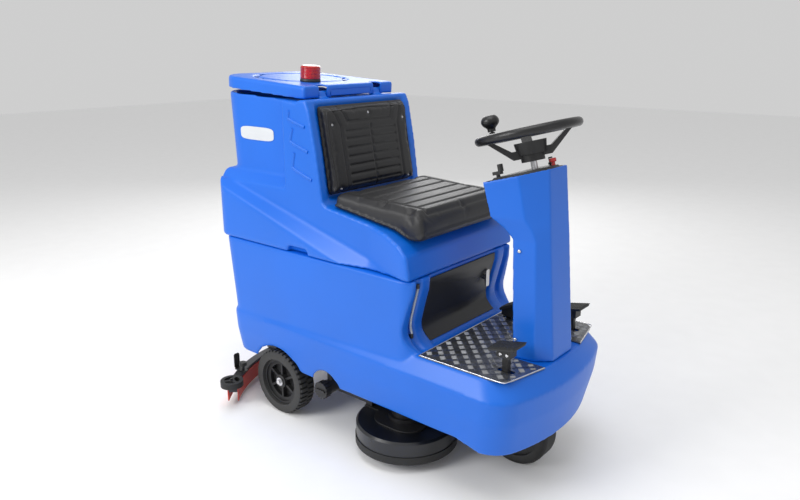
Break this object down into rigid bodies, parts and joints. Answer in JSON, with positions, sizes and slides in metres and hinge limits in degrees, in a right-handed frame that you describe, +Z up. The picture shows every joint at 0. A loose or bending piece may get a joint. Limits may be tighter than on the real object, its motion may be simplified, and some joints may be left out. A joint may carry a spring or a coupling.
{
  "type": "ride-on floor scrubber",
  "caption": "Ride-on scrubber dryer with two disc brushes, rear squeegee, tipping recovery tank, padded seat and steered front drive wheel.",
  "frame": {"origin": "on the floor under the middle of the machine's length and width", "axes": "+X forward along the machine's length, +Y to the driver's left, +Z up"},
  "size_m": [1.4169, 0.8762, 1.2899],
  "materials": {
    "blue_shell": "smooth rotomoulded plastic with a soft sheen",
    "blue_lid": "smooth rotomoulded plastic with a soft sheen",
    "tread_sheet": "five-bar tread plate",
    "black_panel": "fine matt texture",
    "clear_hose": "translucent water hose",
    "black_fitting": "matt",
    "frame_paint": "black powder coat",
    "zinc_steel": "zinc plated",
    "rim_plastic": "moulded, slightly rough",
    "tyre_rubber": "matt rubber",
    "motor_paint": "satin black",
    "dash_plastic": "matt",
    "grip_plastic": "soft sheen, fine grain",
    "stop_red": "gloss",
    "pedal_metal": "black powder coat",
    "battery_case": "matt",
    "controller_case": "finned casting",
    "cover_paint": "satin",
    "skirt_rubber": "matt",
    "brush_fibre": "stiff bristles in a plastic block",
    "filter_plastic": "ribbed",
    "squeegee_metal": "cast",
    "blade_rubber": "red rubber",
    "roller_rubber": "matt",
    "seat_vinyl": "vinyl with a slight sheen",
    "beacon_lens": "clear red plastic on a dark base"
  },
  "bodies": {
    "chassis": {"solution_tank": "blue_shell", "tread_plate": "tread_sheet", "level_hose": "clear_hose", "hose_elbows": "black_fitting", "chassis_frame": "frame_paint", "rear_axle": "zinc_steel", "column_cover": "blue_shell", "dash_panel": "dash_plastic", "pedal_brackets": "zinc_steel", "batteries": "battery_case", "motor_controller": "controller_case", "lift_actuator": "motor_paint", "filter_body": "filter_plastic", "tank_hinges": "zinc_steel"},
    "access_panel": {"access_panel": "black_panel"},
    "panel_latch": {"panel_latch": "black_fitting"},
    "rear_wheel_right": {"rear_rim_right": "rim_plastic", "rear_tyre_right": "tyre_rubber"},
    "rear_wheel_left": {"rear_rim_left": "rim_plastic", "rear_tyre_left": "tyre_rubber"},
    "drive_unit": {"drive_fork": "frame_paint", "traction_motor": "motor_paint"},
    "drive_wheel": {"drive_rim": "rim_plastic", "drive_tyre": "tyre_rubber"},
    "steering_wheel": {"steering_rim": "grip_plastic", "steering_hub": "dash_plastic", "steering_shaft": "zinc_steel"},
    "spinner_knob": {"spinner_knob": "grip_plastic"},
    "lower_shaft": {"lower_steering_shaft": "zinc_steel"},
    "direction_lever": {"direction_lever": "black_fitting"},
    "key_switch": {"key_switch": "black_fitting"},
    "stop_button": {"stop_button": "stop_red"},
    "accelerator_pedal": {"accelerator_pedal": "pedal_metal"},
    "brake_pedal": {"brake_pedal": "pedal_metal"},
    "lift_pedal": {"lift_pedal": "pedal_metal"},
    "deck_lower_arms": {"deck_lower_arms": "frame_paint"},
    "deck_upper_arm": {"deck_upper_arm": "frame_paint"},
    "brush_deck": {"deck_plate": "frame_paint", "brush_covers": "cover_paint", "skirts": "skirt_rubber", "brush_motors": "motor_paint"},
    "actuator_rod": {"actuator_rod": "zinc_steel"},
    "brush_right": {"brush_right": "brush_fibre"},
    "brush_left": {"brush_left": "brush_fibre"},
    "squeegee_lower_arms": {"squeegee_lower_arms": "zinc_steel"},
    "squeegee_upper_arm": {"squeegee_upper_arm": "zinc_steel"},
    "squeegee_carrier": {"squeegee_carrier": "zinc_steel"},
    "squeegee": {"squeegee_body": "squeegee_metal", "squeegee_blades": "blade_rubber", "squeegee_clamps": "black_fitting"},
    "bumper_roller_right": {"bumper_roller_right": "roller_rubber"},
    "bumper_roller_left": {"bumper_roller_left": "roller_rubber"},
    "filter_cap": {"filter_cap": "filter_plastic"},
    "upper_body": {"recovery_tank": "blue_shell", "lid_hinge_pins": "zinc_steel", "vacuum_motor": "motor_paint", "seat_cushion": "seat_vinyl", "backrest_cushion": "seat_vinyl"},
    "tank_lid": {"tank_lid": "blue_lid", "beacon": "beacon_lens"}
  },
  "joints": [
    {"name": "rear_wheel_right_spin", "type": "hinge", "parent": "chassis", "child": "rear_wheel_right", "pos_m": [-0.3474, -0.27, 0.125], "axis": [0, 1, 0], "continuous": true},
    {"name": "rear_wheel_left_spin", "type": "hinge", "parent": "chassis", "child": "rear_wheel_left", "pos_m": [-0.3474, 0.27, 0.125], "axis": [0, 1, 0], "continuous": true},
    {"name": "drive_unit_steer", "type": "hinge", "parent": "chassis", "child": "drive_unit", "pos_m": [0.5186, 0, 0.288], "axis": [0, 0, 1], "range_deg": [-40, 40]},
    {"name": "drive_wheel_spin", "type": "hinge", "parent": "drive_unit", "child": "drive_wheel", "pos_m": [0.5186, 0, 0.125], "axis": [0, 1, 0], "continuous": true},
    {"name": "lower_shaft_turn", "type": "hinge", "parent": "chassis", "child": "lower_shaft", "pos_m": [0.5921, 0, 0.5], "axis": [0, 0, 1], "range_deg": [-180, 180]},
    {"name": "steering_wheel_turn", "type": "hinge", "parent": "chassis", "child": "steering_wheel", "pos_m": [0.4996, 0, 1.106], "axis": [-0.2622, 0, 0.965], "range_deg": [-180, 180]},
    {"name": "spinner_knob_spin", "type": "hinge", "parent": "steering_wheel", "child": "spinner_knob", "pos_m": [0.35896, 0.03098, 1.06779], "axis": [-0.2622, 0, 0.965], "continuous": true},
    {"name": "direction_lever_turn", "type": "hinge", "parent": "chassis", "child": "direction_lever", "pos_m": [0.46701, -0.108, 0.98544], "axis": [-0.2622, 0, 0.965], "range_deg": [-25, 25]},
    {"name": "key_switch_turn", "type": "hinge", "parent": "chassis", "child": "key_switch", "pos_m": [0.55, 0.062, 1.00799], "axis": [-0.2622, 0, 0.965], "range_deg": [0, 90]},
    {"name": "stop_button_press", "type": "slide", "parent": "chassis", "child": "stop_button", "axis": [0.2622, 0, -0.965], "range_m": [0, 0.006], "stiffness_N_per_m": 600, "springref_m": -0.002},
    {"name": "accelerator_pedal_press", "type": "hinge", "parent": "chassis", "child": "accelerator_pedal", "pos_m": [0.5846, -0.212, 0.396], "axis": [0, 1, 0], "range_deg": [0, 12], "stiffness_Nm_per_rad": 12, "springref_deg": -11.46},
    {"name": "brake_pedal_press", "type": "hinge", "parent": "chassis", "child": "brake_pedal", "pos_m": [0.5846, 0.212, 0.396], "axis": [0, 1, 0], "range_deg": [0, 12], "stiffness_Nm_per_rad": 20, "springref_deg": -11.46},
    {"name": "lift_pedal_press", "type": "hinge", "parent": "chassis", "child": "lift_pedal", "pos_m": [0.3686, 0.168, 0.396], "axis": [0, 1, 0], "range_deg": [0, 12], "stiffness_Nm_per_rad": 12, "springref_deg": -11.46},
    {"name": "access_panel_pull", "type": "slide", "parent": "chassis", "child": "access_panel", "axis": [1, 0, 0], "range_m": [0, 0.04]},
    {"name": "panel_latch_turn", "type": "hinge", "parent": "access_panel", "child": "panel_latch", "pos_m": [0.2696, 0.15, 0.56], "axis": [1, 0, 0], "range_deg": [0, 90]},
    {"name": "upper_body_tip", "type": "hinge", "parent": "chassis", "child": "upper_body", "pos_m": [-0.3474, 0.31, 0.658], "axis": [-1, 0, 0], "range_deg": [0, 55]},
    {"name": "tank_lid_open", "type": "hinge", "parent": "upper_body", "child": "tank_lid", "pos_m": [-0.2404, 0, 1.196], "axis": [0, 1, 0], "range_deg": [0, 88]},
    {"name": "filter_cap_unscrew", "type": "slide", "parent": "chassis", "child": "filter_cap", "axis": [0, -1, 0], "range_m": [0, 0.03]},
    {"name": "deck_arms_raise", "type": "hinge", "parent": "chassis", "child": "deck_lower_arms", "pos_m": [-0.1524, 0, 0.134], "axis": [0, 1, 0], "range_deg": [-9.6, 0]},
    {"name": "brush_deck_level", "type": "hinge", "parent": "deck_lower_arms", "child": "brush_deck", "pos_m": [0.0276, 0, 0.134], "axis": [0, 1, 0], "range_deg": [0, 9.6]},
    {"name": "deck_upper_arm_follow", "type": "hinge", "parent": "chassis", "child": "deck_upper_arm", "pos_m": [-0.1524, 0, 0.19], "axis": [0, 1, 0], "range_deg": [-9.6, 0]},
    {"name": "actuator_rod_travel", "type": "slide", "parent": "chassis", "child": "actuator_rod", "axis": [0, 0, 1], "range_m": [0, 0.0302]},
    {"name": "brush_right_spin", "type": "hinge", "parent": "brush_deck", "child": "brush_right", "pos_m": [0.1776, -0.18, 0.08], "axis": [0, 0, 1], "continuous": true},
    {"name": "brush_left_spin", "type": "hinge", "parent": "brush_deck", "child": "brush_left", "pos_m": [0.1776, 0.18, 0.08], "axis": [0, 0, 1], "continuous": true},
    {"name": "squeegee_arms_raise", "type": "hinge", "parent": "chassis", "child": "squeegee_lower_arms", "pos_m": [-0.5274, 0, 0.12], "axis": [0, 1, 0], "range_deg": [0, 12.15]},
    {"name": "squeegee_carrier_level", "type": "hinge", "parent": "squeegee_lower_arms", "child": "squeegee_carrier", "pos_m": [-0.6224, 0, 0.12], "axis": [0, 1, 0], "range_deg": [-12.15, 0]},
    {"name": "squeegee_upper_arm_follow", "type": "hinge", "parent": "chassis", "child": "squeegee_upper_arm", "pos_m": [-0.5274, 0, 0.16], "axis": [0, 1, 0], "range_deg": [0, 12.15]},
    {"name": "squeegee_swing", "type": "hinge", "parent": "squeegee_carrier", "child": "squeegee", "pos_m": [-0.6774, 0, 0.12], "axis": [0, 0, 1], "range_deg": [-8, 8]},
    {"name": "bumper_roller_right_spin", "type": "hinge", "parent": "squeegee", "child": "bumper_roller_right", "pos_m": [-0.51717, -0.39459, 0.104], "axis": [0, 0, 1], "continuous": true},
    {"name": "bumper_roller_left_spin", "type": "hinge", "parent": "squeegee", "child": "bumper_roller_left", "pos_m": [-0.51717, 0.39459, 0.104], "axis": [0, 0, 1], "continuous": true}
  ],
  "couplings": [
    {"joint": "lower_shaft_turn", "follows": "drive_unit_steer", "ratio": 4.5},
    {"joint": "steering_wheel_turn", "follows": "drive_unit_steer", "ratio": 4.5},
    {"joint": "brush_deck_level", "follows": "deck_arms_raise", "ratio": -1},
    {"joint": "deck_upper_arm_follow", "follows": "deck_arms_raise", "ratio": 1},
    {"joint": "actuator_rod_travel", "follows": "deck_arms_raise", "m_per_rad": -0.18},
    {"joint": "squeegee_carrier_level", "follows": "squeegee_arms_raise", "ratio": -1},
    {"joint": "squeegee_upper_arm_follow", "follows": "squeegee_arms_raise", "ratio": 1}
  ]
}
